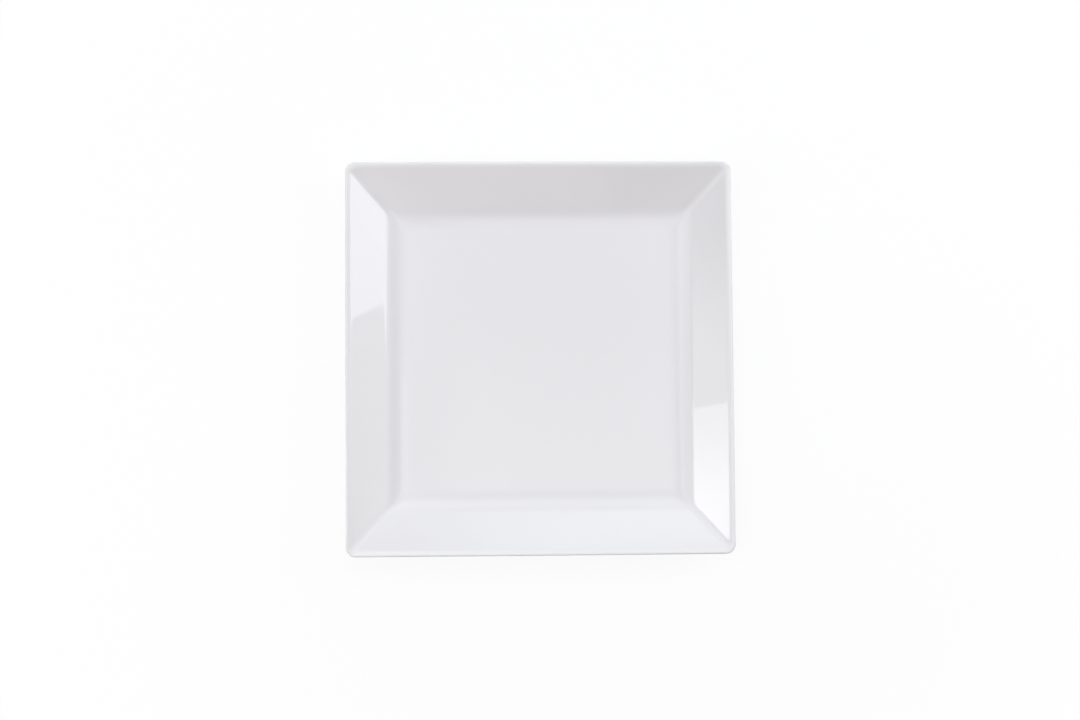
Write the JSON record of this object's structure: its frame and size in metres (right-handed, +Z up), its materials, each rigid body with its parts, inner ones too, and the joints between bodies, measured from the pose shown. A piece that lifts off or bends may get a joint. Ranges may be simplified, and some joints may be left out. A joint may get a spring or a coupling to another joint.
{
  "type": "square dinner plate",
  "caption": "White glazed square dinner plate with a flat well, sloped walls that meet in mitres, a soft-edged lip and a bare square foot ring.",
  "frame": {"origin": "middle of the foot's standing face, on the table", "axes": "+Z up through the middle of the well; X and Y square to the sides, with -Y towards the bottom of the picture"},
  "size_m": [0.267, 0.267, 0.0266],
  "materials": {
    "bare_porcelain": "matt fired porcelain, bare on the foot",
    "white_glaze": "high gloss white glaze with a slight long wave",
    "recess_glaze": "gloss white glaze, a little duller than the face"
  },
  "bodies": {
    "root": {"porcelain_body": "bare_porcelain", "outer_glaze": "white_glaze", "recess_glaze": "recess_glaze"}
  },
  "joints": []
}
